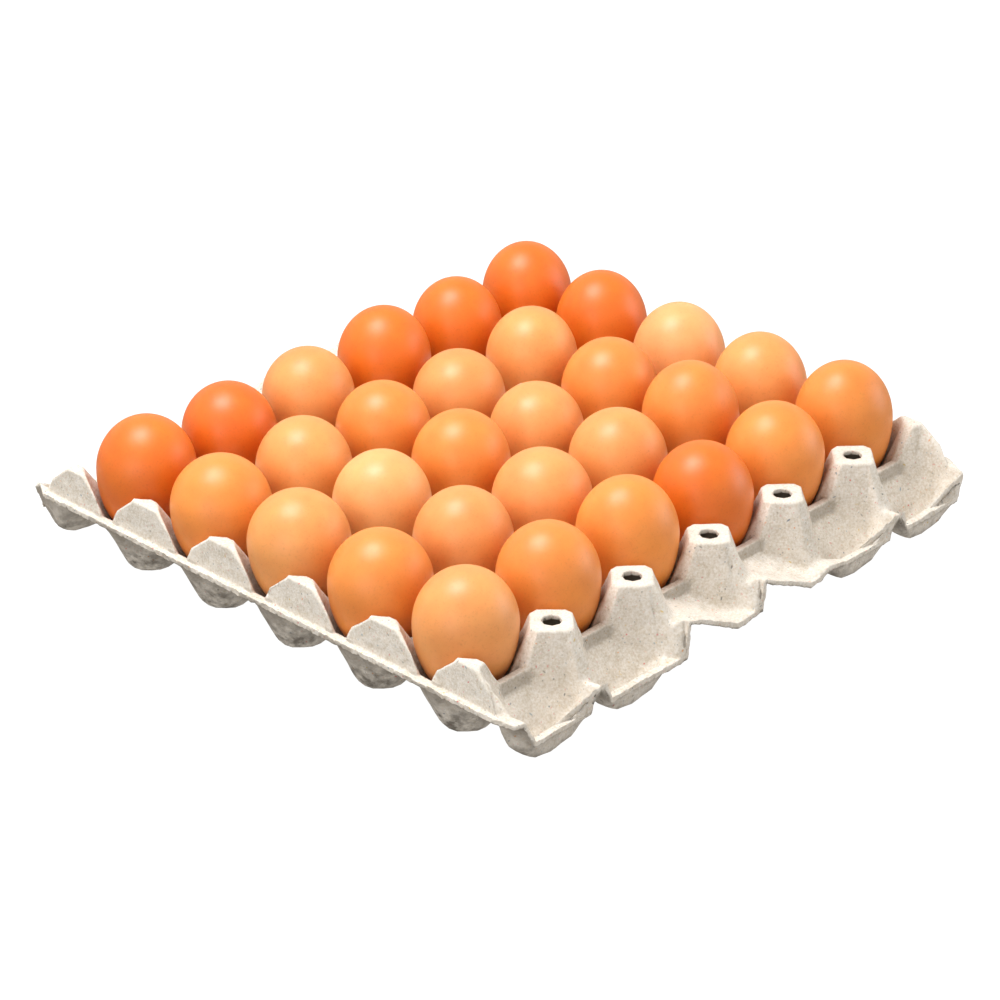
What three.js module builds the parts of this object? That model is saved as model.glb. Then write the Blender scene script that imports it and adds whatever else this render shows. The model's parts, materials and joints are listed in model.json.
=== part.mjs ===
// Open tray of moulded paper pulp with thirty hen's eggs, six cups by five. All sizes are in mm.
// Frame: +X along the six cups, +Y along the five, +Z up, origin on the ground under the middle.
import * as THREE from "three";
import { mergeVertices } from "three/addons/utils/BufferGeometryUtils.js";

// Driving sizes of the tray
const PITCH = 48;              // from one cup to the next, both ways
const COLUMNS = 6;             // cups along X
const ROWS = 5;                // cups along Y
const PULP = 2.2;              // thickness of the pulp sheet
const POST_Z = 46;             // flat tops of the posts between four cups
const POST_FLAT = 10;          // half the width of a post's eight-sided top, towards the bars
const POST_NARROW = 1.9;       // half the length of the top's short edges, which face the bars
const POST_WALL = 1.7;         // how far a post's top is set in on its under side
const HOLE_R = 4.4;            // hole through each post's top
const DAM_Z = 31;              // bar between two neighbouring cups
const DAM_HALF = 7.2;          // half the length of that bar
const DAM_EDGE = 1.5;          // half its width
const DAM_DEEP = 2.8;          // thickness of the bar
const WALL_Z = 14;             // height where a cup's wall turns in towards its floor
const WALL_R = 15.8;           // cup radius at that height
const WALL_THICK = 1.6;        // pulp measured level through the wall
const FLOOR_R = 9.5;           // radius of the flat floor
const FLOOR_EDGE = 1.2;        // how much wider the floor is underneath

// Driving sizes of the straight rims at the two X ends and of the half posts along them
const RIM_Z = 30;              // top of the rim
const RIM_OUT = 2.6;           // how far rims and lips stand out past the cups' outline
const RIM_SET = 1.2;           // drop of the cup's lower face just inside the rim
const PANEL_FOOT = 3.5;        // half the gap between two neighbouring panels, at the rim
const HALF_POST_FLAT = 7.2;    // depth of a half post's top, in from the outer cup line
const HALF_POST_MID = 5;       // place of its slanting edge, in from the lines between the cups
const HALF_POST_Z = 45.2;      // its height
const PANEL_TOP = 7;           // half the width of a half post's outer panel, at its top
const PANEL_LEAN = 1.5;        // how far the panel leans in on the way up
const PANEL_DEEP = 2.1;        // thickness of the panel
const KNEE_Z = 37;             // bend in the panel's slanting sides
const KNEE_ALONG = 6.8;
const KNEE_IN = 0.7;
const END_SHIFT = 5;           // how much narrower a panel is on the side of the tray's corner

// Driving sizes of the open half cups along the two Y sides
const LIP_INNER = 0.6;         // inner edge of the lip, from the outer cup line
const LIP_THICK = 1.6;         // pulp measured level through the wall below the lip
const LIP_LEAN = 1.2;          // largest shift sideways of the lip's lower face where it climbs
const RIDGE_END = 5;           // where the ridge from a post meets the lip
const CORNER_IN = 2;           // how far the tray's corner at -X and -Y is cut back
const CORNER_CUT = 5;          // the same at its other three corners
const POCKET_MID = 8;          // middle of the pocket behind the lip, in from the outer cup line
// The lip of each open half cup from one ridge to the next, as [place along the side, height].
// The two middle ones sweep up to a point on one side, the others are low between level humps.
const LIPS = [
  [[-24, 30], [-19.5, 29.5], [-13.5, 18], [0, 18], [17.5, 18], [20.2, 26.5], [24, 26.5]],
  [[-24, 26.5], [-20.4, 26.5], [-17.5, 18], [0, 18], [16, 17.5], [20, 17.5], [24, 17.5]],
  [[-24, 17.5], [-20.6, 18], [-19, 33], [-12, 31], [0, 25], [12.5, 18.5], [20, 18.5], [24, 19.5]],
  [[-24, 19.5], [-20.6, 19.5], [-19, 32], [-12, 29], [0, 23.5], [12.5, 17.5], [20, 18], [24, 20.5]],
  [[-24, 20.5], [-19.5, 20], [-12.5, 18.5], [0, 18], [17.5, 18], [20.4, 26.5], [24, 26.5]],
  [[-24, 26.5], [-20.4, 26.5], [-17.5, 18], [0, 18], [18, 18], [21, 29.5], [24, 30]],
];
// Height where each ridge between two open half cups ends, RIDGE_END in from the outer cup line
const RIDGE_TOPS = [26.5, 30.5, 30, 20.5, 26.5];
// Corners inside an open half cup: [along the side, in from the outer cup line, height].
// The pocket is lowest close behind the lip. Where the lip is higher, the inside follows it.
const POCKET_WALL = [
  [0, 21, 26], [-6.5, 21, 26], [-12, 15.5, 21.5], [-17.6, 7.5, 15], [-14, 3, 12.5], [-9, 1.8, 10],
  [-2, 1.8, 9.4], [9, 1.8, 10.4], [14, 3, 12.5], [17.6, 7.5, 15], [12, 15.5, 21.5], [6.5, 21, 26],
];
const POCKET_FLOOR = [
  [0, 11, 12.5], [-7.5, 8.5, 10.5], [-7.5, 4.2, 9.2], [6, 4.2, 9.2], [6, 8.5, 10.5],
];
const FAR_DEEPER = 5;          // how much deeper the pockets on the +Y side are, at the bottom
const FOLLOWS_LIP = [false, false, true, true, false, false];

// Driving sizes of the eggs: size grades, length over width and shell tone, row by row from the front
const EGG_WIDTH = { S: 42.4, M: 43.4, L: 44.4, X: 45.4 };
const EGG_GRADES = ["LLLLLL", "LMLLLL", "LMLMLL", "LMMMML", "LMMLML"];
const EGG_TALLNESS = { s: 1.22, m: 1.28, t: 1.34, v: 1.4 };
const EGG_LENGTHS = ["mmtmmv", "smssvv", "smmsmv", "smsstv", "mmmttv"];
const SHELL_TONE = { P: 0xebb07c, L: 0xe39a62, M: 0xd98a4e, D: 0xc8703a };
const EGG_TONES = ["LMMDMM", "MLLLML", "LPMLMP", "MLMLLD", "DDLDDD"];
const BLUNT_SHARE = 0.42;      // part of the length above the widest level
const EGG_TILT = 3;            // largest lean of an egg, in degrees
const EGG_VARIES = 0.01;       // spread of the widths inside a grade, as a share
const EGG_CLEAR = 1;           // upright gap that keeps an egg off the pulp
const EGG_SIDES = 12;
const EGG_RINGS = 6;
const SEED = 7;

const HALF = PITCH / 2;

// Seeded random numbers from 0 to 1
function randomFrom(seed) {
  let state = seed;
  return () => {
    state = (state * 16807) % 2147483647;
    return state / 2147483647;
  };
}

// The pulp sheet: every corner has a place on the upper face and one on the lower face
const uppers = [];
const lowers = [];
const faces = [];
const cornerAt = new Map();

function corner(upper, lower) {
  const key = `${Math.round(upper[0] * 50)} ${Math.round(upper[1] * 50)}`;
  if (!cornerAt.has(key)) {
    cornerAt.set(key, uppers.length);
    uppers.push(upper);
    lowers.push(lower);
  }
  return cornerAt.get(key);
}

// A flat or folded patch of the sheet, as a fan, turned so that it faces up
function patch(...ids) {
  for (let k = 1; k + 1 < ids.length; k += 1) {
    const [a, b, c] = [ids[0], ids[k], ids[k + 1]];
    const [p, q, r] = [uppers[a], uppers[b], uppers[c]];
    const area = (q[0] - p[0]) * (r[1] - p[1]) - (q[1] - p[1]) * (r[0] - p[0]);
    faces.push(area > 0 ? [a, b, c] : [a, c, b]);
  }
}

// Angles of a closed loop of corners about a centre, growing all the way round
function turnsOf(loop, centre) {
  const turns = [];
  for (const id of loop) {
    let turn = Math.atan2(uppers[id][1] - centre[1], uppers[id][0] - centre[0]);
    while (turns.length > 0 && turn < turns.at(-1) - 1e-6) turn += 2 * Math.PI;
    turns.push(turn);
  }
  turns.push(turns[0] + 2 * Math.PI);
  return turns;
}

// The sheet between two closed loops round a centre, both starting in the same direction
function bridge(outer, inner, centre) {
  const outerTurns = turnsOf(outer, centre);
  const innerTurns = turnsOf(inner, centre);
  let i = 0;
  let j = 0;
  while (i < outer.length || j < inner.length) {
    const outerNext = j === inner.length
      || (i < outer.length && outerTurns[i + 1] <= innerTurns[j + 1] + 1e-9);
    if (outerNext) {
      patch(inner[j % inner.length], outer[i], outer[(i + 1) % outer.length]);
      i += 1;
    } else {
      patch(outer[i % outer.length], inner[(j + 1) % inner.length], inner[j]);
      j += 1;
    }
  }
}

// Corners of one eighth of a cup, from the middle of a side to the diagonal:
// [outward, sideways, height] on the upper face, then the same on the lower face
const POST_INNER = POST_FLAT - POST_WALL;
const POST_UNDER = POST_Z - PULP;
const DAM_UNDER = DAM_Z - DAM_DEEP;
const DAM_UNDER_HALF = DAM_HALF + 1;
const DAM_UNDER_EDGE = 0.5;
const UNDER_NARROW = POST_NARROW - POST_WALL / 3;
const onDiagonal = (radius) => [radius * Math.SQRT1_2, radius * Math.SQRT1_2];
const fromCorner = (radius) => [HALF - radius * Math.SQRT1_2, HALF - radius * Math.SQRT1_2];
// the middle of a long edge of an eight-sided top lies halfway between that edge's two ends
const longEdge = (flat, narrow) => [HALF - (flat + narrow) / 2, HALF - (flat + narrow) / 2];
const CUP = {
  damMid: [[HALF, 0, DAM_Z], [HALF, 0, DAM_UNDER]],
  damEnd: [[HALF, DAM_HALF, DAM_Z], [HALF, DAM_UNDER_HALF, DAM_UNDER]],
  damMidEdge: [[HALF - DAM_EDGE, 0, DAM_Z], [HALF - DAM_UNDER_EDGE, 0, DAM_UNDER]],
  damEndEdge: [
    [HALF - DAM_EDGE, DAM_HALF, DAM_Z],
    [HALF - DAM_UNDER_EDGE, DAM_UNDER_HALF, DAM_UNDER],
  ],
  topSide: [[HALF, HALF - POST_FLAT, POST_Z], [HALF, HALF - POST_INNER, POST_UNDER]],
  topSideEdge: [
    [HALF - POST_NARROW, HALF - POST_FLAT, POST_Z],
    [HALF - UNDER_NARROW, HALF - POST_INNER, POST_UNDER],
  ],
  topDiagonal: [
    [...longEdge(POST_FLAT, POST_NARROW), POST_Z],
    [...longEdge(POST_INNER, UNDER_NARROW), POST_UNDER],
  ],
  holeSide: [[HALF, HALF - HOLE_R, POST_Z], [HALF, HALF - HOLE_R, POST_UNDER]],
  holeDiagonal: [[...fromCorner(HOLE_R), POST_Z], [...fromCorner(HOLE_R), POST_UNDER]],
  wallSide: [[WALL_R, 0, WALL_Z], [WALL_R + WALL_THICK, 0, WALL_Z - 1]],
  wallDiagonal: [[...onDiagonal(WALL_R), WALL_Z], [...onDiagonal(WALL_R + WALL_THICK), WALL_Z - 1]],
  floorSide: [[FLOOR_R, 0, PULP], [FLOOR_R + FLOOR_EDGE, 0, 0]],
  floorDiagonal: [[...onDiagonal(FLOOR_R), PULP], [...onDiagonal(FLOOR_R + FLOOR_EDGE), 0]],
};

// What differs at the end of such a side that meets half a post at a rim
const HALF_POST_INNER = HALF_POST_FLAT - POST_WALL;
const HALF_POST_UNDER = HALF_POST_Z - PULP;
const BY_RIM = {
  topSide: [
    [HALF, HALF - HALF_POST_FLAT, HALF_POST_Z],
    [HALF, HALF - HALF_POST_INNER, HALF_POST_UNDER],
  ],
  topSideEdge: [
    [HALF - POST_NARROW, HALF - HALF_POST_FLAT, HALF_POST_Z],
    [HALF - UNDER_NARROW, HALF - HALF_POST_INNER, HALF_POST_UNDER],
  ],
  topDiagonal: [
    [HALF - HALF_POST_MID, HALF - HALF_POST_MID, HALF_POST_Z],
    [HALF - HALF_POST_MID + 0.9, HALF - HALF_POST_MID + 0.9, HALF_POST_UNDER],
  ],
};

// The same eighth where the cup meets a straight rim, with half a post behind an outer panel
const RIM_UNDER = RIM_Z - PULP;
const EDGE_UNDER = RIM_UNDER - RIM_SET;
const RIM_LINE = HALF + RIM_OUT;
const PANEL_OUT = HALF - PANEL_LEAN;
const PANEL_IN = PANEL_OUT - PANEL_DEEP;
const RIM = {
  damMid: [[HALF, 0, RIM_Z], [HALF, 0, RIM_UNDER]],
  damMidEdge: [[HALF - DAM_EDGE, 0, RIM_Z], [HALF - 0.7, 0, EDGE_UNDER]],
  panelFoot: [[HALF, PANEL_FOOT, RIM_Z], [HALF - 0.3, PANEL_FOOT + 2, RIM_UNDER]],
  panelFootEdge: [[HALF - DAM_EDGE, PANEL_FOOT, RIM_Z], [HALF - 1, PANEL_FOOT + 1.7, EDGE_UNDER]],
  panelKnee: [[HALF - KNEE_IN, KNEE_ALONG, KNEE_Z], [HALF - 1.3, KNEE_ALONG + 2.5, KNEE_Z - 2]],
  panelTop: [
    [PANEL_OUT, HALF - PANEL_TOP, HALF_POST_Z],
    [PANEL_IN, HALF - PANEL_TOP + 1.3, HALF_POST_UNDER],
  ],
  panelTopMid: [[PANEL_OUT, HALF, HALF_POST_Z], [PANEL_IN, HALF, HALF_POST_UNDER]],
  panelBaseMid: [[HALF, HALF, RIM_Z], [HALF - PANEL_DEEP, HALF, RIM_UNDER]],
  topSideEdge: [
    [PANEL_OUT - PANEL_LEAN, HALF - PANEL_TOP - 1, HALF_POST_Z],
    [PANEL_IN - 0.1, HALF - PANEL_TOP + 1, HALF_POST_UNDER],
  ],
  outerMid: [[RIM_LINE, 0, RIM_Z], [RIM_LINE, 0, RIM_UNDER]],
  outerFoot: [[RIM_LINE, PANEL_FOOT, RIM_Z], [RIM_LINE, PANEL_FOOT, RIM_UNDER]],
  outerPost: [[RIM_LINE, HALF, RIM_Z], [RIM_LINE, HALF, RIM_UNDER]],
};
const PANEL_LINE = ["panelTopMid", "panelTop", "panelKnee", "panelFoot"];

// The same once more on the outer side of a panel at the tray's corner, which is narrower
const narrower = ([out, along, z]) => [out, Math.min(along + END_SHIFT, HALF), z];
const RIM_END = Object.fromEntries(
  Object.entries(RIM).map(([name, pair]) => [name, pair.map(narrower)]),
);
RIM_END.topSideEdge[1] = [PANEL_IN - 0.1, HALF - 2, HALF_POST_UNDER];
RIM_END.topDiagonal = [
  [HALF - 2.4, HALF - HALF_POST_MID + 0.2, HALF_POST_Z],
  [HALF - 1.7, HALF - HALF_POST_MID + 0.4, HALF_POST_UNDER],
];

// Puts an eighth's corner at a cup: side 0 to 3 is +X, +Y, -X, -Y, and hand is -1, 0 or 1
function cupCorner([upper, lower], cx, cy, side, hand) {
  const [c, s] = [[1, 0], [0, 1], [-1, 0], [0, -1]][side];
  const put = ([out, along, z]) => {
    const across = along * hand;
    return [cx + out * c - across * s, cy + out * s + across * c, z];
  };
  return corner(put(upper), put(lower));
}

// The straight rim and the half post's outer panel beside one half of a cup's side
function rimAndPanel(shape, cx, cy, side, hand, fromMiddle) {
  const at = (name) => cupCorner(shape[name], cx, cy, side, hand);
  if (fromMiddle) patch(at("outerMid"), at("outerFoot"), at("panelFoot"), at("damMid"));
  patch(at("outerFoot"), at("outerPost"), at("panelBaseMid"), at("panelFoot"));
  patch(at("panelBaseMid"), at("panelTopMid"), at("panelTop"), at("panelKnee"), at("panelFoot"));
}

// One whole cup. rimSide is the side with a straight rim, or null.
function cup(cx, cy, rimSide) {
  const outer = [];
  const edge = [];
  const wall = [];
  const floor = [];
  for (let side = 0; side < 4; side += 1) {
    const isRim = side === rimSide;
    const shape = isRim ? RIM : CUP;
    const at = (from, name, hand) => cupCorner(from[name], cx, cy, side, hand);
    const byRim = (hand) => (side + hand + 4) % 4 === rimSide;
    // from beside the middle of this side to the post, which is a half one next to a rim
    const outerHalf = (hand) => {
      if (isRim) return [...PANEL_LINE].reverse().map((name) => at(RIM, name, hand));
      if (byRim(hand)) return [at(CUP, "damEnd", hand), at(BY_RIM, "topSide", hand)];
      return ["damEnd", "topSide", "holeSide"].map((name) => at(CUP, name, hand));
    };
    const edgeHalf = (hand) => [
      at(shape, isRim ? "panelFootEdge" : "damEndEdge", hand),
      at(byRim(hand) ? BY_RIM : shape, "topSideEdge", hand),
    ];
    const nextIsRim = byRim(1);
    outer.push(...outerHalf(-1).reverse(), at(shape, "damMid", 0), ...outerHalf(1));
    if (!isRim && !nextIsRim) outer.push(at(CUP, "holeDiagonal", 1));
    edge.push(...edgeHalf(-1).reverse(), at(shape, "damMidEdge", 0), ...edgeHalf(1));
    edge.push(at(isRim || nextIsRim ? BY_RIM : CUP, "topDiagonal", 1));
    wall.push(at(CUP, "wallSide", 0), at(CUP, "wallDiagonal", 1));
    floor.push(at(CUP, "floorSide", 0), at(CUP, "floorDiagonal", 1));
  }
  const centre = [cx, cy];
  bridge(outer, edge, centre);
  bridge(edge, wall, centre);
  bridge(wall, floor, centre);
  patch(...floor);
  if (rimSide !== null) {
    for (const hand of [-1, 1]) rimAndPanel(RIM, cx, cy, rimSide, hand, true);
  }
}

// Height of a lip part of the way across its half cup
function lipHeight(lip, x) {
  const k = Math.max(1, lip.findIndex(([place]) => place >= x));
  const [[from, low], [to, high]] = [lip[k - 1], lip[k]];
  return THREE.MathUtils.mapLinear(x, from, to, low, high);
}

// One open half cup on the -Y side, or turned half round on the +Y side.
// Its own axes are x along the side and y in towards the cups, from the line of its centre.
function scoop(column, turned) {
  const way = turned ? -1 : 1;
  const cx = (column + 0.5 - COLUMNS / 2) * PITCH;
  const cy = -(ROWS / 2 + 0.5) * PITCH;
  const lip = LIPS[column];
  const last = lip.length - 1;
  const put = (upper, lower) => {
    const place = ([x, y, z]) => [way * (cx + x), way * (cy + y), z];
    return corner(place(upper), place(lower));
  };
  // corners of a cup's eighth, turned to this half cup's long side or to its two short sides
  const spread = (pair, hand) => put(...pair.map(([out, along, z]) => [hand * along, out, z]));
  const beside = (pair, hand) => put(...pair.map(([out, along, z]) => [hand * out, along, z]));
  const lean = (k) => {
    if (k === 0 || k === last) return 0;
    const slope = (lip[k + 1][1] - lip[k - 1][1]) / (lip[k + 1][0] - lip[k - 1][0]);
    return LIP_LEAN * THREE.MathUtils.clamp(slope, -1, 1);
  };
  const lipOuter = (k) => put(
    [lip[k][0], -RIM_OUT, lip[k][1]],
    [lip[k][0] + lean(k), -RIM_OUT, lip[k][1] - PULP],
  );
  const lipEdge = (k) => put(
    [lip[k][0], LIP_INNER, lip[k][1]],
    [lip[k][0] + lean(k), LIP_INNER - LIP_THICK, lip[k][1] - PULP],
  );
  // from the middle of the cup side round to the lip, on the side of hand
  const around = (hand) => {
    const atRim = column === (hand < 0 ? 0 : COLUMNS - 1);
    const ridgeTop = RIDGE_TOPS[hand < 0 ? column - 1 : column];
    const [end, beforeEnd] = hand < 0 ? [0, 1] : [last, last - 1];
    const outer = [spread(CUP.damEnd, hand), spread((atRim ? BY_RIM : CUP).topSide, hand)];
    if (atRim) {
      outer.push(...PANEL_LINE.map((name) => beside(RIM_END[name], hand)));
      const cut = column === 0 && !turned ? CORNER_IN : CORNER_CUT;
      const tip = [hand * (RIM_LINE - cut), cut / 2 - RIM_OUT];
      const corners = [beside(RIM_END.outerFoot, hand), put([...tip, RIM_Z], [...tip, RIM_UNDER])];
      patch(...corners, outer.at(-1));
      outer.push(corners[1]);
      rimAndPanel(RIM_END, way * cx, way * cy, hand * way > 0 ? 0 : 2, hand, false);
    } else {
      outer.push(spread(CUP.holeSide, hand), spread(CUP.holeDiagonal, hand));
      outer.push(beside(CUP.holeSide, hand), beside(CUP.topSide, hand));
      outer.push(put(
        [hand * HALF, RIDGE_END, ridgeTop],
        [hand * HALF, RIDGE_END + 1.2, ridgeTop - PULP],
      ));
      outer.push(lipOuter(end));
    }
    outer.push(lipOuter(beforeEnd));
    const edge = [spread(CUP.damEndEdge, hand), spread((atRim ? BY_RIM : CUP).topSideEdge, hand)];
    edge.push(spread((atRim ? RIM_END : CUP).topDiagonal, hand));
    edge.push(beside((atRim ? RIM_END : CUP).topSideEdge, hand));
    const place = lip[beforeEnd][0];
    const height = FOLLOWS_LIP[column] && hand < 0 ? ridgeTop : lip[beforeEnd][1];
    edge.push(put(
      [place, RIDGE_END, height],
      [place + hand * 1.3, RIDGE_END + 0.6, height - PULP - 0.4],
    ));
    return { outer, edge };
  };
  const right = around(1);
  const left = around(-1);
  const middle = lip.map((_, k) => k).slice(2, -2);
  const outer = [spread(CUP.damMid, 1), ...left.outer, ...middle.map(lipOuter), ...right.outer.reverse()];
  const edge = [spread(CUP.damMidEdge, 1), ...left.edge, ...middle.map(lipEdge), ...right.edge.reverse()];
  // a ring of the pocket, set out by the thickness of the pulp on its lower face
  const top = POCKET_WALL[0][2];
  const bottom = POCKET_FLOOR[2][2];
  const ring = (points, thick) => points.map(([x, y, z]) => {
    const deep = turned ? z - (FAR_DEEPER * (top - z)) / (top - bottom) : z;
    const height = FOLLOWS_LIP[column] ? Math.max(z, lipHeight(lip, x)) : deep;
    const share = 1 + thick / Math.hypot(x, y - POCKET_MID);
    return put([x, y, height], [x * share, POCKET_MID + (y - POCKET_MID) * share, height - PULP]);
  });
  const wall = ring(POCKET_WALL, WALL_THICK);
  const floor = ring(POCKET_FLOOR, FLOOR_EDGE);
  const centre = [way * cx, way * (cy + POCKET_MID)];
  bridge(outer, edge, centre);
  bridge(edge, wall, centre);
  bridge(wall, floor, centre);
  patch(...floor);
}

for (let row = 0; row < ROWS; row += 1) {
  for (let column = 0; column < COLUMNS; column += 1) {
    const rimSide = { 0: 2, [COLUMNS - 1]: 0 }[column] ?? null;
    cup((column + 0.5 - COLUMNS / 2) * PITCH, (row + 0.5 - ROWS / 2) * PITCH, rimSide);
  }
}
for (let column = 0; column < COLUMNS; column += 1) {
  scoop(column, false);
  scoop(column, true);
}

// Closes the sheet: upper faces, lower faces, and a narrow wall along every open edge
function sheetGeometry() {
  const count = uppers.length;
  const index = [];
  const open = new Map();
  for (const [a, b, c] of faces) {
    index.push(a, b, c, count + a, count + c, count + b);
    for (const [p, q] of [[a, b], [b, c], [c, a]]) {
      if (!open.delete(`${q} ${p}`)) open.set(`${p} ${q}`, [p, q]);
    }
  }
  for (const [p, q] of open.values()) {
    index.push(q, p, count + p, q, count + p, count + q);
  }
  const geometry = new THREE.BufferGeometry();
  geometry.setAttribute("position", new THREE.Float32BufferAttribute([...uppers, ...lowers].flat(), 3));
  geometry.setIndex(index);
  return geometry;
}

// Lowest and highest of some triangles over a place in plan, or null where none lies there
function heightsOver(triangles, x, y) {
  let span = null;
  for (const [a, b, c] of triangles) {
    const area = (b[0] - a[0]) * (c[1] - a[1]) - (b[1] - a[1]) * (c[0] - a[0]);
    const u = ((x - a[0]) * (c[1] - a[1]) - (y - a[1]) * (c[0] - a[0])) / area;
    const v = ((b[0] - a[0]) * (y - a[1]) - (b[1] - a[1]) * (x - a[0])) / area;
    if (u < 0 || v < 0 || u + v > 1) continue;
    const height = a[2] + u * (b[2] - a[2]) + v * (c[2] - a[2]);
    span = span ? [Math.min(span[0], height), Math.max(span[1], height)] : [height, height];
  }
  return span;
}

// Leaves out the triangles that shrink to a line at the two ends of a lathed shape
function withoutSlivers(index) {
  const kept = [];
  for (let k = 0; k < index.length; k += 3) {
    const [a, b, c] = index.slice(k, k + 3);
    if (a !== b && b !== c && c !== a) kept.push(a, b, c);
  }
  return kept;
}

// An egg with its blunt end up, its widest level at its own origin
function eggGeometry(width, length) {
  const profile = [];
  for (let k = 0; k <= EGG_RINGS + 1; k += 1) {
    const turn = -Math.PI / 2 + (Math.PI * k) / (EGG_RINGS + 1);
    const share = turn < 0 ? 1 - BLUNT_SHARE : BLUNT_SHARE;
    const radius = k === 0 || k === EGG_RINGS + 1 ? 0 : (width / 2) * Math.cos(turn);
    profile.push(new THREE.Vector2(radius, length * share * Math.sin(turn)));
  }
  const geometry = new THREE.LatheGeometry(profile, EGG_SIDES);
  geometry.deleteAttribute("normal");
  geometry.deleteAttribute("uv");
  geometry.rotateX(Math.PI / 2);
  const merged = mergeVertices(geometry, 1e-3);
  merged.setIndex(withoutSlivers(merged.index.array));
  return merged;
}

// Sets an egg down in its cup: as low as it goes with the upright gap between it and the pulp
function seat(egg) {
  egg.updateMatrixWorld();
  const { position } = egg.geometry.attributes;
  const { index } = egg.geometry;
  const spots = [];
  const spot = new THREE.Vector3();
  for (let k = 0; k < position.count; k += 1) {
    spots.push(spot.fromBufferAttribute(position, k).applyMatrix4(egg.matrixWorld).toArray());
  }
  const shell = [];
  for (let k = 0; k < index.count; k += 3) {
    shell.push([0, 1, 2].map((n) => spots[index.getX(k + n)]));
  }
  const near = (place) => Math.max(
    Math.abs(place[0] - egg.position.x),
    Math.abs(place[1] - egg.position.y),
  ) < HALF + 1;
  const sheet = faces.map((face) => face.map((id) => uppers[id])).filter((face) => face.some(near));
  const shares = [0.2, 0.4, 0.6, 0.8];
  const between = ([a, b, c]) => shares.flatMap((share) => (
    [[a, b], [b, c], [c, a]].map(([from, to]) => from.map((v, n) => v + (to[n] - v) * share))
  ));
  const places = [...spots, ...sheet.flat(), ...sheet.flatMap(between), ...shell.flatMap(between)];
  let lift = -Infinity;
  for (const [x, y] of places) {
    const above = heightsOver(shell, x, y);
    const below = heightsOver(sheet, x, y);
    if (above && below) lift = Math.max(lift, below[1] + EGG_CLEAR - above[0]);
  }
  egg.position.z += lift;
}

const eggTray = new THREE.Group();

const pulp = new THREE.MeshStandardMaterial({ color: 0xd7d0c3, roughness: 0.95, metalness: 0 });
const tray = new THREE.Mesh(sheetGeometry(), pulp);
tray.name = "tray";
eggTray.add(tray);

const random = randomFrom(SEED);
const lean = () => THREE.MathUtils.degToRad((random() * 2 - 1) * EGG_TILT);
for (let row = 0; row < ROWS; row += 1) {
  for (let column = 0; column < COLUMNS; column += 1) {
    const width = EGG_WIDTH[EGG_GRADES[row][column]] * (1 + (random() - 0.5) * EGG_VARIES);
    const length = width * EGG_TALLNESS[EGG_LENGTHS[row][column]];
    const color = SHELL_TONE[EGG_TONES[row][column]];
    const shell = new THREE.MeshStandardMaterial({ color, roughness: 0.5, metalness: 0 });
    const egg = new THREE.Mesh(eggGeometry(width, length), shell);
    egg.name = `egg_${row + 1}_${column + 1}`;
    egg.position.set((column + 0.5 - COLUMNS / 2) * PITCH, (row + 0.5 - ROWS / 2) * PITCH, 0);
    egg.rotation.set(lean(), lean(), random() * 2 * Math.PI);
    seat(egg);
    eggTray.add(egg);
  }
}

export default eggTray;
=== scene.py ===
import json
import math
import random

import bpy
import numpy as np
from mathutils import Matrix, Vector, noise


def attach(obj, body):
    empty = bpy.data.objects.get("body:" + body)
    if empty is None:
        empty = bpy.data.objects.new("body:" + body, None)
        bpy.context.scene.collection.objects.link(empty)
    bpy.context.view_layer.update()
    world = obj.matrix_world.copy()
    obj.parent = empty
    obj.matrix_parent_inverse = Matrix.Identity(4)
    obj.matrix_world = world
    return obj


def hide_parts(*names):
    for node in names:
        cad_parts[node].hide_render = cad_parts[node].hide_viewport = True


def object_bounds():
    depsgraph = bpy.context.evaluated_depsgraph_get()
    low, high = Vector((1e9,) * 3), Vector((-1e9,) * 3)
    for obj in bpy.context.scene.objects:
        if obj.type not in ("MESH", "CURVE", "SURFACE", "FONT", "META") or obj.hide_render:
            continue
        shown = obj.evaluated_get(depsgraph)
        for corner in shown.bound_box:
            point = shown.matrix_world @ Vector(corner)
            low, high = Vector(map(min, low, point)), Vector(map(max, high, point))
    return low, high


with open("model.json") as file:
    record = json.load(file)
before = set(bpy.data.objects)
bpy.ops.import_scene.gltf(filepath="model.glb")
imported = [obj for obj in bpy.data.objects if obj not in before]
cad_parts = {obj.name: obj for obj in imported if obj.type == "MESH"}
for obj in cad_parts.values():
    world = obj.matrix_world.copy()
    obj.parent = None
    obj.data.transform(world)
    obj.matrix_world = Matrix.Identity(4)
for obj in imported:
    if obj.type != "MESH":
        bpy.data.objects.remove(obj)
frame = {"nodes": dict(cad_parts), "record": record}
cad_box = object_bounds()

# Layout of the tray, in metres
PITCH = 0.048
COLUMNS = 6
ROWS = 5
POST_Z = 0.046
BAR_Z = 0.0285                 # middle height of the bars between neighbouring cups
BAR_FROM_POST = 0.0150         # where a bar starts, from the middle of a post
RIM_LINE = 0.1466

# Fineness of the tray's visible surface
LONGEST_UPPER = 0.0029         # longest edge on the upper face
LONGEST_UNDER = 0.0050         # the same on the under side
LONGEST_EDGE = 0.0018          # the same near rims, lips, bars and post tops
SOFTENING = 12                 # rounds of smoothing that turn folds into moulded radii
CRISP_SHARE = 0.03             # how much of it reaches the crisp zones below
NEAR_SHARE = 0.56              # how far a vertex moves to its neighbours' mean, then back
BACK_SHARE = -0.58

# Zones with crisp folds, in metres
EDGE_BAND = 0.006              # in from the rims and lips
TOP_BAND = 0.0035              # down from the tops of the posts
BAR_BAND = 0.0060              # beside the middle line of a bar
BAR_REACH = 0.007              # above and below a bar's middle height
WIDE_FADE = 0.002              # how softly the zones end
NARROW_FADE = 0.0015

# Unevenness of the pulp: [height, size of the waves], in metres
PULP_WAVES = [(0.00032, 0.017), (0.00016, 0.0052), (0.00007, 0.0021)]
EDGE_RAG = (0.00060, 0.0026)
RAG_BAND = 0.004               # width of the ragged zone at the rims and lips

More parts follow.
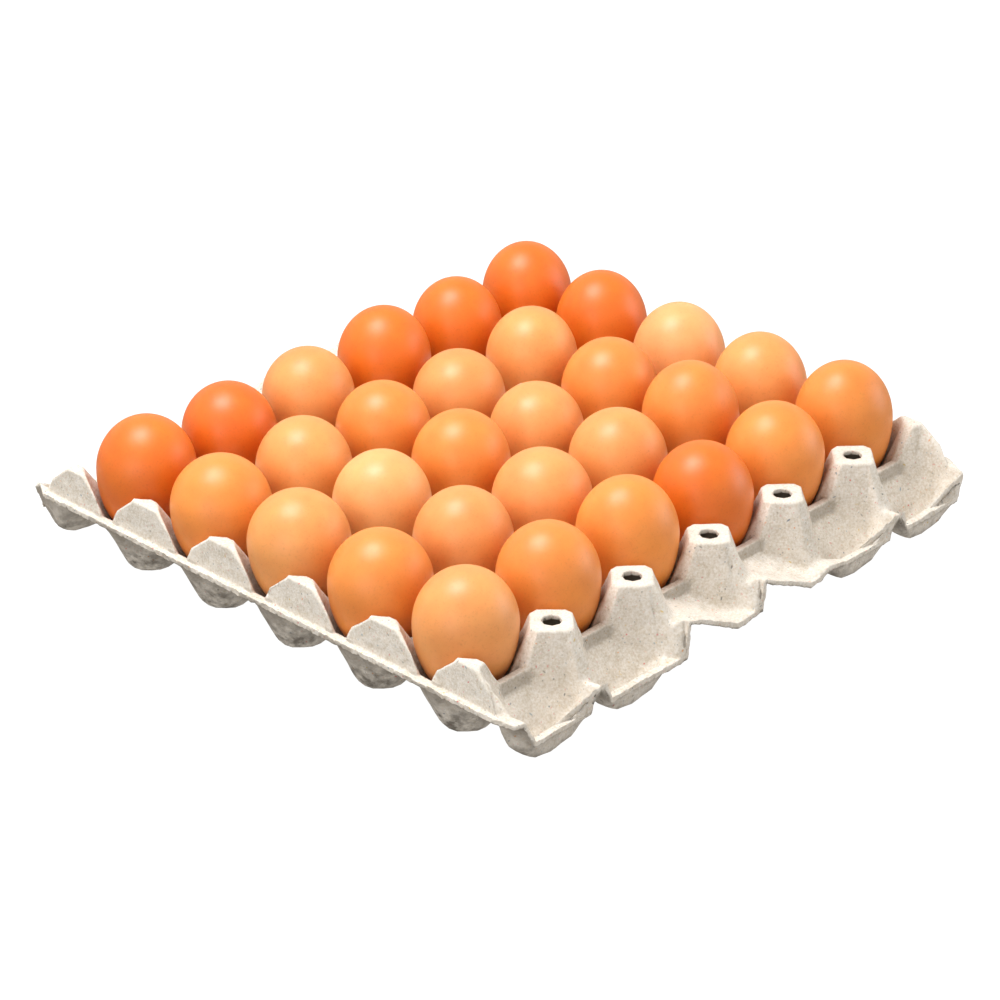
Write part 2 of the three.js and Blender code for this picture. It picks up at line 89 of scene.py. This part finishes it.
# Where painted highlight and painted shade go on the pulp: [where it starts, where it is full]
HIGHLIGHT_STANDS = (0.00008, 0.00058)
HIGHLIGHT_SHARE = 0.5
INSIDE_HEIGHTS = (0.012, 0.032)
UNDER_SHADE_HEIGHTS = (0.028, 0.008)
UNDER_SHADE_SIDES = 0.4            # share of the painted shade on the faces turned along Y
STEP_ASIDE = (0.0042, 0.0034)
STEP_STEEPNESS = (0.7, 0.45)
STEP_FOOT = (0.0240, 0.0250)
STEP_TOP = (0.0312, 0.0308)
STEP_SHADE = 0.4

# Eggs
EGG_TURNS = 72
EGG_RINGS = 44
BLUNT_SHARE = 0.42             # part of the length above the widest level
EGG_WAVE = (0.00022, 0.022)
EGG_WAVE_ENDS = 2.4            # how soon the waves die out towards the egg's ends

# Camera, worked out from the rows of posts in the picture
LENS = 114.95
TARGET = Vector((-0.03744, -0.036, 0.046))
DISTANCE = 1.3507
AZIMUTH = -136.12              # degrees from +X, seen from above
ELEVATION = 28.35
ROLL = -0.58


# Mesh helpers

def mesh_arrays(obj):
    """Vertices and triangles of a mesh, with vertices at one place joined."""
    mesh = obj.data
    mesh.calc_loop_triangles()
    co = np.zeros(len(mesh.vertices) * 3)
    mesh.vertices.foreach_get("co", co)
    tris = np.zeros(len(mesh.loop_triangles) * 3, int)
    mesh.loop_triangles.foreach_get("vertices", tris)
    places, back = np.unique(np.round(co.reshape(-1, 3), 6), axis=0, return_inverse=True)
    tris = back.reshape(-1)[tris].reshape(-1, 3)
    whole = (tris[:, 0] != tris[:, 1]) & (tris[:, 1] != tris[:, 2]) & (tris[:, 2] != tris[:, 0])
    return places, tris[whole]


def refined(points, tris, longest):
    """Splits every edge that is longer than longest allows at its middle, until none is left."""
    for coarse in (8, 4, 2, 1):
        while True:
            sides = np.concatenate([tris[:, [0, 1]], tris[:, [1, 2]], tris[:, [2, 0]]])
            sides = np.sort(sides, axis=1)
            keys, first, back = np.unique(
                sides[:, 0] * len(points) + sides[:, 1], return_index=True, return_inverse=True)
            ends = sides[first]
            a, b = points[ends[:, 0]], points[ends[:, 1]]
            allowed = longest((a + b) / 2, faces_down(points, tris, back))
            long = np.linalg.norm(a - b, axis=1) > allowed * coarse
            if not long.any():
                break
            middles = np.full(len(keys), -1)
            middles[long] = len(points) + np.arange(long.sum())
            points = np.concatenate([points, ((a + b) / 2)[long]])
            tris = split(points, tris, middles[back].reshape(3, -1).T)
    return points, tris


def across_triangles(points, tris):
    """For each triangle, the direction it faces, as long as twice its area."""
    a, b, c = points[tris[:, 0]], points[tris[:, 1]], points[tris[:, 2]]
    return np.cross(b - a, c - a)


def faces_down(points, tris, back):
    """For each edge, whether both its triangles face down."""
    down = np.tile(across_triangles(points, tris)[:, 2] < 0, 3)
    return np.bincount(back.reshape(-1), weights=down) > 1.5


def split(points, tris, mid):
    """Cuts triangles at the middles of their long sides. mid holds a middle, or -1, per side."""
    cuts = (mid >= 0).sum(axis=1)
    made = [tris[cuts == 0]]
    for side in range(3):
        turn = [side, (side + 1) % 3, (side + 2) % 3]
        a, b, c = tris[:, turn].T
        ab, bc, ca = mid[:, turn].T
        one = (cuts == 1) & (ab >= 0)
        made += [np.stack([a, ab, c], 1)[one], np.stack([ab, b, c], 1)[one]]
        two = (cuts == 2) & (ca < 0)
        made.append(np.stack([ab, b, bc], 1)[two])
        short = two.copy()
        short[two] = (np.linalg.norm(points[ab[two]] - points[c[two]], axis=1)
                      < np.linalg.norm(points[bc[two]] - points[a[two]], axis=1))
        other = two & ~short
        made += [np.stack([a, ab, c], 1)[short], np.stack([ab, bc, c], 1)[short]]
        made += [np.stack([a, ab, bc], 1)[other], np.stack([a, bc, c], 1)[other]]
    a, b, c = tris[cuts == 3].T
    ab, bc, ca = mid[cuts == 3].T
    made += [np.stack(t, 1) for t in ((a, ab, ca), (ab, b, bc), (bc, c, ca), (ab, bc, ca))]
    return np.concatenate(made)


def neighbour_means(values, tris, weights=None):
    """Mean of the neighbours' values at every vertex of a closed mesh."""
    at = tris.reshape(-1)
    to = tris[:, [1, 2, 0]].reshape(-1)
    weights = np.ones(len(at)) if weights is None else weights
    total = np.zeros_like(values)
    for k in range(values.shape[1]):
        total[:, k] = np.bincount(at, values[to, k] * weights, len(values))
    return total / np.bincount(at, weights, len(values))[:, None]


def softened(points, tris, rounds, share):
    """Rounds folds without shrinking the whole. share says how much, vertex by vertex."""
    sides = points[tris] - points[tris[:, [1, 2, 0]]]
    lengths = np.linalg.norm(sides, axis=2).reshape(-1)
    for _ in range(rounds):
        for step in (NEAR_SHARE, BACK_SHARE):
            pull = neighbour_means(points, tris, lengths) - points
            points = points + step * share[:, None] * pull
    return points


def normals(points, tris):
    """Direction of the surface at every vertex, larger triangles counting more."""
    across = across_triangles(points, tris)
    total = np.zeros_like(points)
    for side in range(3):
        for k in range(3):
            total[:, k] += np.bincount(tris[:, side], across[:, k], len(points))
    return total / np.maximum(np.linalg.norm(total, axis=1), 1e-12)[:, None]


def rise(values, start, full):
    """0 up to start, 1 from full on, and even in between. start may be the higher one."""
    return np.clip((values - start) / (full - start), 0, 1)


def waves(points, size, seed):
    """Smooth noise from -1 to 1 at every point."""
    shift = np.array([7.31, 3.77, 5.19]) * seed
    return np.array([noise.noise(p) for p in (points / size + shift).tolist()])


def new_piece(name, points, tris, slot, *nodes):
    """A smooth mesh that stands in for the named nodes."""
    mesh = bpy.data.meshes.new(name)
    mesh.from_pydata(points.tolist(), [], tris.tolist())
    mesh.polygons.foreach_set("use_smooth", [True] * len(mesh.polygons))
    mesh.update()
    obj = bpy.data.objects.new(name, mesh)
    bpy.context.scene.collection.objects.link(obj)
    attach(obj, "root")
    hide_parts(*nodes)
    return obj


# Material helpers

def new_material(name):
    material = bpy.data.materials.new(name)
    material.use_nodes = True
    nodes = material.node_tree.nodes
    return material, material.node_tree, nodes["Principled BSDF"]


def node(tree, kind, inputs=(), **settings):
    made = tree.nodes.new(kind)
    for key, value in settings.items():
        setattr(made, key, value)
    for key, value in dict(inputs).items():
        if isinstance(value, bpy.types.NodeSocket):
            tree.links.new(value, made.inputs[key])
        else:
            made.inputs[key].default_value = value
    return made


def ramp(tree, factor, *stops):
    """A colour ramp. Each stop is (place, grey or colour)."""
    made = node(tree, "ShaderNodeValToRGB", {"Fac": factor})
    elements = made.color_ramp.elements
    while len(elements) < len(stops):
        elements.new(0.5)
    for element, (place, colour) in zip(elements, stops):
        element.position = place
        element.color = (*colour, 1) if isinstance(colour, tuple) else (colour, colour, colour, 1)
    return made.outputs["Color"]


def mix(tree, factor, a, b, blend="MIX"):
    made = tree.nodes.new("ShaderNodeMix")
    made.data_type = "RGBA"
    made.blend_type = blend
    for index, value in ((0, factor), (6, a), (7, b)):
        if isinstance(value, bpy.types.NodeSocket):
            tree.links.new(value, made.inputs[index])
        else:
            made.inputs[index].default_value = (*value, 1) if isinstance(value, tuple) else value
    return made.outputs[2]


def linear(*shade):
    """A colour given in display values from 0 to 255."""
    shade = [v / 255 for v in shade]
    return tuple(v / 12.92 if v <= 0.04 else ((v + 0.055) / 1.055) ** 2.4 for v in shade)


# Pulp

PULP = linear(218, 210, 198)
PULP_DARK = linear(210, 201, 187)
PULP_LIGHT = linear(226, 218, 206)
# painted highlight colour for the convex edges and folds, on the line below
PULP_EDGE_HIGHLIGHT = linear(240, 233, 221)
# painted shade colour for the insides of the posts and the steps beside the bars, on the line below
PULP_INSIDE = linear(104, 92, 76)
# painted shade colour for the under sides near the feet of the cups, on the line below
PULP_UNDER_SHADE = linear(84, 76, 66)
FIBRES = [linear(206, 96, 88), linear(96, 108, 122), linear(222, 150, 84), linear(88, 86, 82),
          linear(212, 120, 116), linear(120, 146, 160), linear(206, 176, 84), linear(150, 146, 138)]
# Mottling of the pulp, in metres, and its bumps as [size, depth]
PULP_CLOUDS = 0.0060
PULP_GRAINS = 0.0010
PULP_STROKES = 0.0006
# size of the patches in the painted shade under the cups, on the line below
UNDER_SHADE_PATCHES = 0.0048
PULP_SHEEN = 0.002
PULP_DENTS = (0.0026, 0.0007)
PULP_HAIRS = (0.0006, 0.00025)
DRAWN_OUT = [(1, 0.22, 0.22), (0.22, 1, 0.22), (0.22, 0.22, 1)]    # strokes along each axis
# Coloured fibres: [size of the cells that each hold one, half its length, half its width, strength]
FIBRE_KINDS = [(0.0030, 0.00110, 0.00046, 0.75), (0.0017, 0.00055, 0.00036, 0.45)]


def fibres(tree, place, colour, kind, seed):
    """Short coloured dashes, each lying its own way in its own cell."""
    size, half_length, half_width, strength = kind
    moved = node(tree, "ShaderNodeVectorMath", {0: place, 1: (seed, seed, seed)},
                 operation="ADD").outputs[0]
    cells = node(tree, "ShaderNodeTexVoronoi", {"Vector": moved, "Scale": 1 / size})
    away = node(tree, "ShaderNodeVectorMath", {0: moved, 1: cells.outputs["Position"]},
                operation="SUBTRACT").outputs[0]
    way = node(tree, "ShaderNodeVectorMath", {0: cells.outputs["Color"], 1: (0.5, 0.5, 0.5)},
               operation="SUBTRACT").outputs[0]
    way = node(tree, "ShaderNodeVectorMath", {0: way}, operation="NORMALIZE").outputs[0]
    along = node(tree, "ShaderNodeVectorMath", {0: away, 1: way},
                 operation="DOT_PRODUCT").outputs["Value"]
    squeezed = node(tree, "ShaderNodeMath", {0: along, 1: half_width / half_length - 1},
                    operation="MULTIPLY").outputs[0]
    shift = node(tree, "ShaderNodeVectorMath", {0: way, "Scale": squeezed},
                 operation="SCALE").outputs[0]
    near = node(tree, "ShaderNodeVectorMath", {0: away, 1: shift}, operation="ADD").outputs[0]
    reach = node(tree, "ShaderNodeVectorMath", {0: near}, operation="LENGTH").outputs["Value"]
    share = node(tree, "ShaderNodeMath", {0: reach, 1: half_width}, operation="DIVIDE").outputs[0]
    dash = ramp(tree, share, (0.55, strength), (1.0, 0.0))
    parts = node(tree, "ShaderNodeSeparateColor", {"Color": cells.outputs["Color"]})
    fade = ramp(tree, parts.outputs["Blue"], (0.3, 0.0), (0.8, 1.0))
    seen = node(tree, "ShaderNodeMath", {0: dash, 1: fade}, operation="MULTIPLY").outputs[0]
    steps = [(k / len(FIBRES), fibre) for k, fibre in enumerate(FIBRES)]
    tint = ramp(tree, parts.outputs["Green"], *steps)
    tint.node.color_ramp.interpolation = "CONSTANT"
    return mix(tree, seen, colour, tint)


def pulp_material():
    material, tree, shader = new_material("moulded_pulp")
    place = node(tree, "ShaderNodeTexCoord").outputs["Object"]

    def grain(size, detail, seed, vector=place):
        return node(tree, "ShaderNodeTexNoise", {
            "Vector": vector, "Scale": 1 / size, "Detail": detail, "Roughness": 0.6, "W": seed,
        }, noise_dimensions="4D").outputs["Fac"]

    cloud = ramp(tree, grain(PULP_CLOUDS, 3, 1),
                 (0.32, PULP_DARK), (0.5, PULP), (0.68, PULP_LIGHT))
    fine = ramp(tree, grain(PULP_GRAINS, 2, 2), (0.35, 0.32), (0.65, 0.68))
    colour = mix(tree, 0.65, cloud, fine, "OVERLAY")
    for seed, drawn_out in enumerate(DRAWN_OUT):
        brushed = node(tree, "ShaderNodeVectorMath", {0: place, 1: drawn_out},
                       operation="MULTIPLY").outputs[0]
        strokes = ramp(tree, grain(PULP_STROKES, 2, 7 + seed, brushed), (0.35, 0.36), (0.65, 0.64))
        colour = mix(tree, 0.22, colour, strokes, "OVERLAY")
    # painted highlight: the convex edges and folds are lightened
    edge_highlight = node(tree, "ShaderNodeAttribute", attribute_name="edge_highlight").outputs["Fac"]
    colour = mix(tree, edge_highlight, colour, PULP_EDGE_HIGHLIGHT)
    for seed, kind in enumerate(FIBRE_KINDS):
        colour = fibres(tree, place, colour, kind, seed)
    # painted shade: inside the hollow posts, on the steps beside the bars, and in patches under the
    # cups
    inside = node(tree, "ShaderNodeAttribute", attribute_name="inside").outputs["Fac"]
    colour = mix(tree, inside, colour, PULP_INSIDE)
    under_shade = node(tree, "ShaderNodeAttribute", attribute_name="under_shade").outputs["Fac"]
    patches = ramp(tree, grain(UNDER_SHADE_PATCHES, 4, 6), (0.38, 0.12), (0.62, 0.85))
    patchy_shade = node(tree, "ShaderNodeMath", {0: under_shade, 1: patches},
                  operation="MULTIPLY").outputs[0]
    colour = mix(tree, patchy_shade, colour, PULP_UNDER_SHADE)
    tree.links.new(colour, shader.inputs["Base Color"])

    dents = node(tree, "ShaderNodeBump", {
        "Height": grain(PULP_DENTS[0], 4, 3), "Strength": 0.6, "Distance": PULP_DENTS[1]})
    hairs = node(tree, "ShaderNodeBump", {
        "Height": grain(PULP_HAIRS[0], 5, 4), "Strength": 0.6, "Distance": PULP_HAIRS[1],
        "Normal": dents.outputs[0]})
    tree.links.new(hairs.outputs[0], shader.inputs["Normal"])
    rough = ramp(tree, grain(PULP_SHEEN, 3, 5), (0.3, 0.84), (0.7, 0.96))
    tree.links.new(rough, shader.inputs["Roughness"])
    shader.inputs["Specular IOR Level"].default_value = 0.25
    return material


def aside_of_bars(places):
    """How far a place lies beside the nearest bar, in plan, or a whole pitch where none is near."""
    cups = places[:, :2] / PITCH - np.array([COLUMNS, ROWS]) / 2
    off = np.abs(cups - np.round(cups)) * PITCH
    aside = np.where(off[:, ::-1] > BAR_FROM_POST, off, PITCH)
    aside[np.abs(places[:, 1]) > ROWS / 2 * PITCH, 0] = PITCH
    return aside.min(1)


def crispness(places):
    """1 where the pulp has crisp folds: at the rims, the lips, the bars and the post tops."""
    out = (np.abs(places[:, :2]).max(1) - RIM_LINE + EDGE_BAND) / WIDE_FADE
    top = (places[:, 2] - POST_Z + TOP_BAND) / NARROW_FADE
    level = (BAR_REACH - np.abs(places[:, 2] - BAR_Z)) / WIDE_FADE
    bar = np.minimum((BAR_BAND - aside_of_bars(places)) / NARROW_FADE, level)
    return np.clip(np.maximum(np.maximum(out, top), bar), 0, 1)


def make_tray():
    """One mesh made from the tray's solid: finer, with moulded radii and uneven pulp."""
    points, tris = mesh_arrays(frame["nodes"]["tray"])
    low, high = points.min(0), points.max(0)

    def longest(places, down):
        crisp = crispness(places) > 0
        return np.where(crisp & ~down, LONGEST_EDGE, np.where(down, LONGEST_UNDER, LONGEST_UPPER))

    points, tris = refined(points, tris, longest)
    points = softened(points, tris, SOFTENING, 1 - (1 - CRISP_SHARE) * crispness(points))
    out = normals(points, tris)
    # how far a place stands out from what is round it; a painted highlight lightens the places that
    # stand out, the convex edges and folds
    around = points
    for _ in range(3):
        around = neighbour_means(around, tris)
    stands = ((points - around) * out).sum(1)
    edge_highlight = rise(stands, *HIGHLIGHT_STANDS)[:, None]
    edge_highlight = neighbour_means(neighbour_means(edge_highlight, tris), tris)[:, 0]

    for seed, (height, size) in enumerate(PULP_WAVES):
        points = points + out * (height * waves(points, size, seed + 1))[:, None]
    rag = rise(np.abs(points[:, :2]).max(1), RIM_LINE - RAG_BAND, RIM_LINE)
    height, size = EDGE_RAG
    for axis in range(3):
        points[:, axis] += height * rag * waves(points, size, 11 + axis)
    points = np.clip(points, low, high)

    # painted shade: darker inside the hollow posts, and on the under sides towards the feet of the
    # cups
    level = points[:, 2]
    inside = rise(-out[:, 2], 0, 1 / 3) * rise(level, *INSIDE_HEIGHTS)
    under_shade = rise(-out[:, 2], 0, 1 / 4) * rise(level, *UNDER_SHADE_HEIGHTS)
    endwise = np.abs(out[:, 0]) / np.maximum(np.hypot(out[:, 0], out[:, 1]), 0.01)
    under_shade *= np.clip(UNDER_SHADE_SIDES + endwise, 0, 1)

    # the steep steps beside the bars lie in shade
    step = rise(aside_of_bars(points), *STEP_ASIDE) * rise(out[:, 2], *STEP_STEEPNESS)
    step *= rise(level, *STEP_FOOT) * rise(level, *STEP_TOP)
    inside = np.maximum(inside, STEP_SHADE * step)

    tray = new_piece("pulp_tray", points, tris, "moulded_pulp", "tray")
    shades = {"edge_highlight": edge_highlight * HIGHLIGHT_SHARE, "inside": inside, "under_shade": under_shade}
    for name, values in shades.items():
        attribute = tray.data.attributes.new(name, "FLOAT", "POINT")
        attribute.data.foreach_set("value", values.astype(np.float32))
    tray.data.materials.append(pulp_material())


# Eggs

SHELLS = {
    "eggshell_pale": linear(241, 171, 107),
    "eggshell_light": linear(238, 157, 88),
    "eggshell_mid": linear(235, 141, 62),
    "eggshell_deep": linear(229, 113, 26),
}
TONE_SPREAD = (0.96, 1.04)     # from egg to egg
CLOUD_DARK = [0.93, 0.88, 0.84]
CLOUD_LIGHT = [1.05, 1.08, 1.1]
# Mottling of the shells, in metres, and their bumps as [size, depth]
SHELL_CLOUDS = 0.016
SHELL_FRECKLES = 0.00085
SHELL_SHEEN = 0.006
SHELL_PORES = (1 / 300, 0.00012)
SHELL_GRAIN = (0.0009, 0.00014)
SHELL_SURFACE = {
    "Specular IOR Level": 0.36,
    "Coat Weight": 0.38,
    "Coat Roughness": 0.4,
    "Subsurface Weight": 0.22,
    "Subsurface Radius": (0.005, 0.0016, 0.0008),
    "Subsurface Scale": 1.0,
}


def shell_material(name, slot, draw):
    material, tree, shader = new_material(name)
    place = node(tree, "ShaderNodeTexCoord").outputs["Object"]
    seed = draw.uniform(0, 50)
    base = np.array(SHELLS[slot]) * draw.uniform(*TONE_SPREAD)
    base[1] *= draw.uniform(*TONE_SPREAD)

    def grain(size, detail, shift):
        return node(tree, "ShaderNodeTexNoise", {
            "Vector": place, "Scale": 1 / size, "Detail": detail, "Roughness": 0.55,
            "W": seed + shift,
        }, noise_dimensions="4D").outputs["Fac"]

    cloud = ramp(tree, grain(SHELL_CLOUDS, 3, 1),
                 (0.3, tuple(base * CLOUD_DARK)), (0.7, tuple(base * CLOUD_LIGHT)))
    freckles = ramp(tree, grain(SHELL_FRECKLES, 3, 2), (0.54, 1.0), (0.70, 0.86))
    colour = mix(tree, 0.7, cloud, freckles, "MULTIPLY")
    dots = node(tree, "ShaderNodeTexVoronoi",
                {"Vector": place, "Scale": 1 / SHELL_PORES[0]}).outputs["Distance"]
    pores = ramp(tree, dots, (0.08, 0.80), (0.22, 1.0))
    colour = mix(tree, 0.3, colour, pores, "MULTIPLY")
    tree.links.new(colour, shader.inputs["Base Color"])

    pits = node(tree, "ShaderNodeBump",
                {"Height": dots, "Strength": 0.16, "Distance": SHELL_PORES[1]})
    grainy = node(tree, "ShaderNodeBump", {
        "Height": grain(SHELL_GRAIN[0], 4, 3), "Strength": 0.16, "Distance": SHELL_GRAIN[1],
        "Normal": pits.outputs[0]})
    tree.links.new(grainy.outputs[0], shader.inputs["Normal"])
    rough = ramp(tree, grain(SHELL_SHEEN, 3, 4), (0.3, 0.44), (0.7, 0.54))
    tree.links.new(rough, shader.inputs["Roughness"])
    for key, value in SHELL_SURFACE.items():
        shader.inputs[key].default_value = value
    return material


def make_egg(name, slot, draw):
    """A smooth egg on the same axis, with the same length and width as its solid."""
    solid = mesh_arrays(frame["nodes"][name])[0]
    top, foot = solid[solid[:, 2].argmax()], solid[solid[:, 2].argmin()]
    length = np.linalg.norm(top - foot)
    axis = (top - foot) / length
    middle = foot + axis * length * (1 - BLUNT_SHARE)
    radius = np.linalg.norm(np.cross(solid - foot, axis), axis=1).max()
    side = np.cross(axis, [0, 1, 0])
    side /= np.linalg.norm(side)
    ahead = np.cross(axis, side)

    places = [foot]
    for ring in range(1, EGG_RINGS):
        level = -math.pi / 2 + math.pi * ring / EGG_RINGS
        share = BLUNT_SHARE if level > 0 else 1 - BLUNT_SHARE
        centre = middle + axis * length * share * math.sin(level)
        for step in range(EGG_TURNS):
            turn = 2 * math.pi * step / EGG_TURNS
            reach = radius * math.cos(level)
            places.append(centre + reach * (math.cos(turn) * side + math.sin(turn) * ahead))
    places.append(top)
    last = len(places) - 1
    tris = []
    for step in range(EGG_TURNS):
        after = (step + 1) % EGG_TURNS
        tris.append((0, 1 + step, 1 + after))
        base = 1 + (EGG_RINGS - 2) * EGG_TURNS
        tris.append((last, base + after, base + step))
        for ring in range(EGG_RINGS - 2):
            a = 1 + ring * EGG_TURNS
            b = a + EGG_TURNS
            tris += [(a + step, b + step, b + after), (a + step, b + after, a + after)]
    points, tris = np.array(places), np.array(tris)
    if ((points[tris[:, 0]] - middle) * across_triangles(points, tris)).sum() < 0:
        tris = tris[:, ::-1]
    height, size = EGG_WAVE
    endwards = np.abs((points - middle) @ axis) / length
    swell = waves(points - middle, size, draw.uniform(1, 90)) * height
    swell *= 1 - np.clip(endwards * EGG_WAVE_ENDS, 0, 1)
    points = points + normals(points, tris) * swell[:, None]
    points[:, 2] = np.minimum(points[:, 2], cad_box[1][2])

    shell_name = name.replace("egg", "shell")
    egg = new_piece(shell_name, points, tris, slot, name)
    egg.data.materials.append(shell_material(shell_name, slot, draw))


slots = {part["node"]: part["material_slot"] for part in frame["record"]["subparts"]}
make_tray()
draw = random.Random(30)
for row in range(1, ROWS + 1):
    for column in range(1, COLUMNS + 1):
        egg_name = f"egg_{row}_{column}"
        make_egg(egg_name, slots[egg_name], draw)


# Floor, light and camera

FLOOR_REACH = 6
FLOOR_Z = -0.0004
LIGHTS = [                     # name, place, size and power
    ("key", (-0.22, 0.24, 1.15), 0.55, 15),
    ("left", (-1.5, -0.35, 0.55), 1.0, 5),
    ("right", (1.3, -1.0, 0.45), 1.0, 7.5),
]
LIGHTS_AIM = Vector((0, 0, 0.03))
GLOW_BELOW = (0.42, 0.40, 0.38)
GLOW_AROUND = (0.92, 0.90, 0.87)
GLOW_ABOVE = (0.44, 0.43, 0.42)


def make_floor():
    mesh = bpy.data.meshes.new("floor")
    corners = [(x * FLOOR_REACH, y * FLOOR_REACH, FLOOR_Z)
               for x, y in ((-1, -1), (1, -1), (1, 1), (-1, 1))]
    mesh.from_pydata(corners, [], [(0, 1, 2, 3)])
    floor = bpy.data.objects.new("floor", mesh)
    bpy.context.scene.collection.objects.link(floor)
    material, _, shader = new_material("floor")
    shader.inputs["Base Color"].default_value = (0.1, 0.1, 0.1, 1)
    shader.inputs["Roughness"].default_value = 1
    shader.inputs["Emission Color"].default_value = (1, 1, 1, 1)
    shader.inputs["Emission Strength"].default_value = 1
    mesh.materials.append(material)
    floor.visible_diffuse = False
    floor.visible_glossy = False


def add_light(name, place, size, power):
    data = bpy.data.lights.new(name, "AREA")
    data.shape = "DISK"
    data.size = size
    data.energy = power
    light = bpy.data.objects.new(name, data)
    light.location = place
    light.rotation_euler = (LIGHTS_AIM - Vector(place)).to_track_quat("-Z", "Y").to_euler()
    bpy.context.scene.collection.objects.link(light)


def add_camera():
    azimuth, elevation, roll = (math.radians(v) for v in (AZIMUTH, ELEVATION, ROLL))
    level = math.cos(elevation)
    back = Vector((level * math.cos(azimuth), level * math.sin(azimuth), math.sin(elevation)))
    right = (-back).cross(Vector((0, 0, 1))).normalized()
    up = back.cross(right)
    rolled_right = math.cos(roll) * right + math.sin(roll) * up
    rolled_up = math.cos(roll) * up - math.sin(roll) * right
    data = bpy.data.cameras.new("camera")
    data.lens = LENS
    data.sensor_width = 36
    data.clip_end = 50
    camera = bpy.data.objects.new("camera", data)
    bpy.context.scene.collection.objects.link(camera)
    turn = Matrix((rolled_right, rolled_up, back)).transposed()
    camera.matrix_world = Matrix.Translation(TARGET + back * DISTANCE) @ turn.to_4x4()
    bpy.context.scene.camera = camera


def add_world():
    """Soft light, brightest from the sides."""
    world = bpy.data.worlds.new("world")
    world.use_nodes = True
    tree = world.node_tree
    direction = node(tree, "ShaderNodeTexCoord").outputs["Generated"]
    height = node(tree, "ShaderNodeSeparateXYZ", {"Vector": direction}).outputs["Z"]
    sky = ramp(tree, height, (0.0, GLOW_BELOW), (0.05, GLOW_AROUND), (1.0, GLOW_ABOVE))
    background = tree.nodes["Background"]
    tree.links.new(sky, background.inputs["Color"])
    background.inputs["Strength"].default_value = 1
    bpy.context.scene.world = world


make_floor()
for light in LIGHTS:
    add_light(*light)
add_camera()
add_world()
bpy.context.scene.view_settings.view_transform = "Standard"
